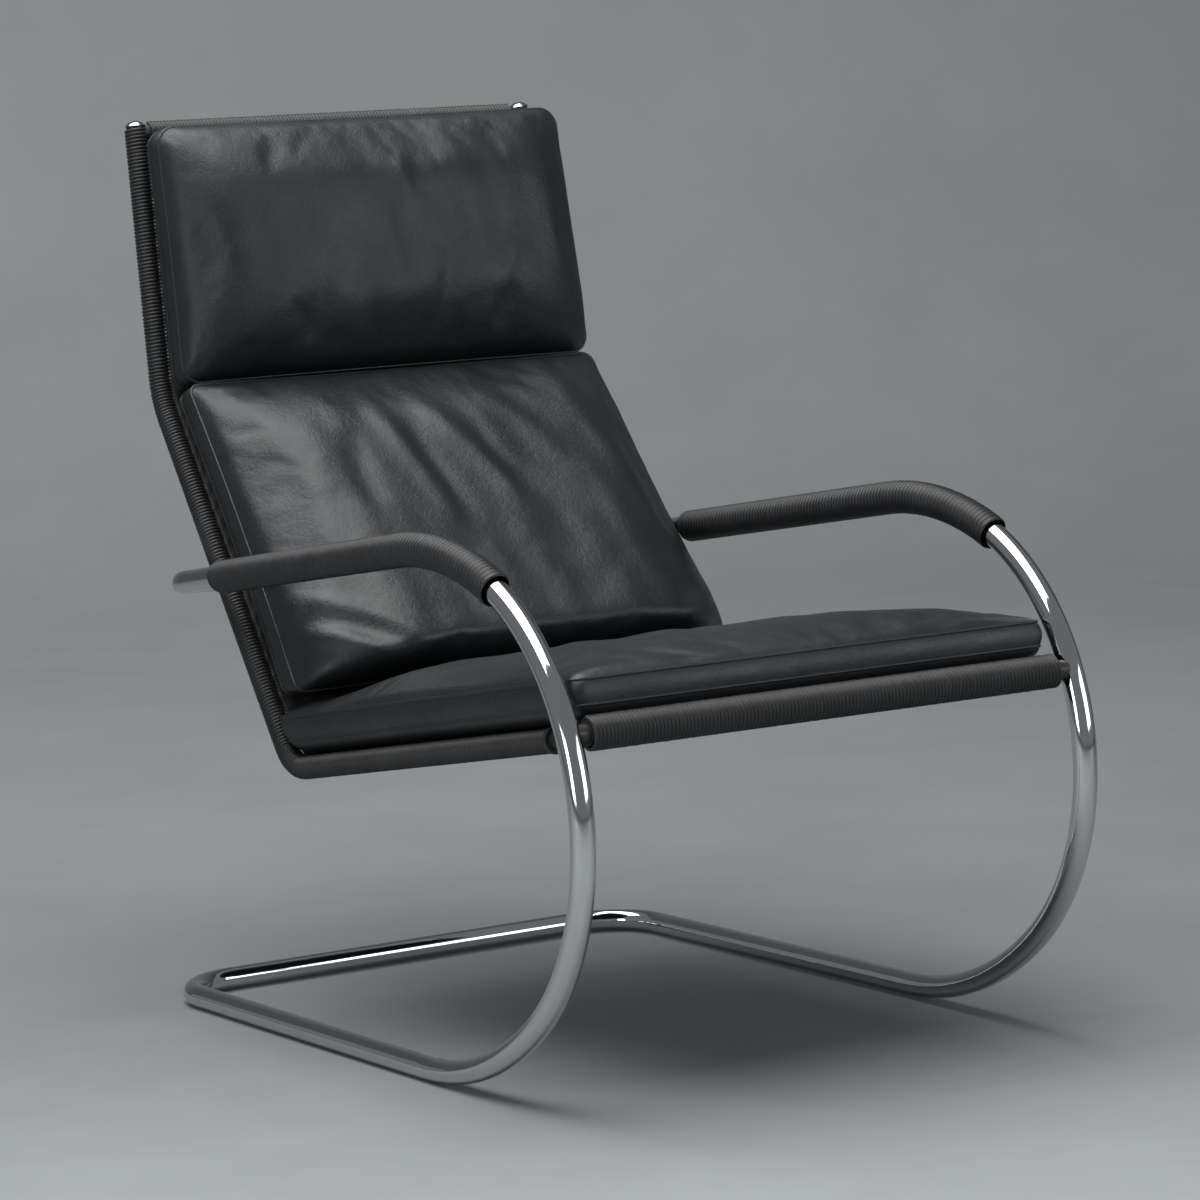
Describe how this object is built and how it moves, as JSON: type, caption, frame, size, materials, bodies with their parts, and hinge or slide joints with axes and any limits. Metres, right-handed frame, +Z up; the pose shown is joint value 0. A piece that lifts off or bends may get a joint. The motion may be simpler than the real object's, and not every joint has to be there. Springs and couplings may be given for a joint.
{
  "type": "cantilever lounge chair",
  "caption": "Cantilever lounge chair: a bright bent tube loop with cord-wound arms holds a wound seat and back frame with loose leather cushions.",
  "frame": {"origin": "on the floor, under the middle of the chair's outer box", "axes": "+Z up; the sitter faces -Y; +X is the side on the right of the picture, and the chair is symmetric about X = 0"},
  "size_m": [0.6336, 0.9832, 0.9723],
  "materials": {
    "bright_tube": "polished chrome plate",
    "bright_trim": "polished chrome plate",
    "inner_frame": "black painted steel tube",
    "fixing_steel": "zinc plated steel",
    "leather_cord": "smooth round leather cord, close wound",
    "woven_web": "woven leather cord",
    "cushion_leather": "soft grained leather with a satin sheen",
    "cushion_foam": "foam block, hidden inside the cover"
  },
  "bodies": {
    "root": {"frame_tube_right": "bright_tube", "frame_tube_left": "bright_tube", "side_rail_right": "inner_frame", "side_rail_left": "inner_frame", "top_bar": "inner_frame", "front_bar": "inner_frame", "rear_bolts": "fixing_steel", "rear_thread_inserts": "fixing_steel", "front_bar_plugs": "fixing_steel", "front_studs": "fixing_steel", "front_thread_inserts": "fixing_steel", "floor_bar_spigot": "fixing_steel", "crossbar_spigot": "fixing_steel", "rail_top_caps": "bright_trim", "rail_winding_collars": "inner_frame", "rear_spacers": "inner_frame", "front_spacers": "inner_frame", "rail_winding_right": "leather_cord", "rail_winding_left": "leather_cord", "top_bar_winding": "leather_cord", "front_bar_winding": "leather_cord", "arm_winding_right": "leather_cord", "arm_winding_left": "leather_cord", "seat_web": "woven_web", "back_web": "woven_web", "seat_cushion_cover": "cushion_leather", "seat_cushion_core": "cushion_foam", "back_cushion_cover": "cushion_leather", "back_cushion_core": "cushion_foam", "head_cushion_cover": "cushion_leather", "head_cushion_core": "cushion_foam"}
  },
  "joints": []
}
